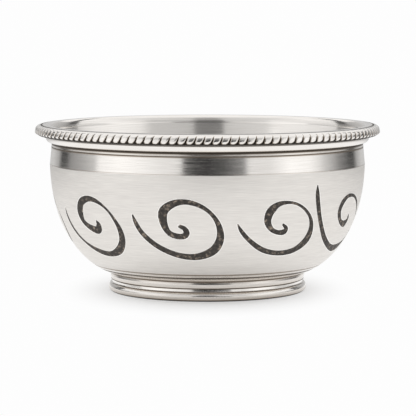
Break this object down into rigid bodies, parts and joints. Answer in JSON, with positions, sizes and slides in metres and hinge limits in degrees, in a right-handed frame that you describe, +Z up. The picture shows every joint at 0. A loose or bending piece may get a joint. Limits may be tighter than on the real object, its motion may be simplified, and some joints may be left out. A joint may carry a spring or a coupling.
{
  "type": "decorative bowl",
  "caption": "Small round silver bowl on a turned ring foot, with a lobed band let into its out-turned rim and blackened spiral scrolls cut into a satin body.",
  "frame": {"origin": "centre of the ring foot, on the surface that the bowl stands on", "axes": "+Z up along the bowl's axis towards its mouth, -Y towards the side that the picture shows, +X to the right of that side"},
  "size_m": [0.114, 0.114, 0.0551],
  "materials": {
    "satin_silver": "satin silver, brushed round the body in fine level lines",
    "polished_silver": "polished silver with light turning marks, darkened in the grooves",
    "black_inlay": "matt blackened silver, pitted, with brown and bare flecks"
  },
  "bodies": {
    "root": {"bowl_shell": "satin_silver", "rim_moulding": "polished_silver", "gadroon_band": "polished_silver", "foot_collar": "polished_silver", "foot_bead": "polished_silver", "scroll_inlay_1": "black_inlay", "scroll_inlay_2": "black_inlay", "scroll_inlay_3": "black_inlay", "scroll_inlay_4": "black_inlay", "scroll_inlay_5": "black_inlay", "scroll_inlay_6": "black_inlay", "scroll_inlay_7": "black_inlay", "scroll_inlay_8": "black_inlay", "scroll_inlay_9": "black_inlay"}
  },
  "joints": []
}
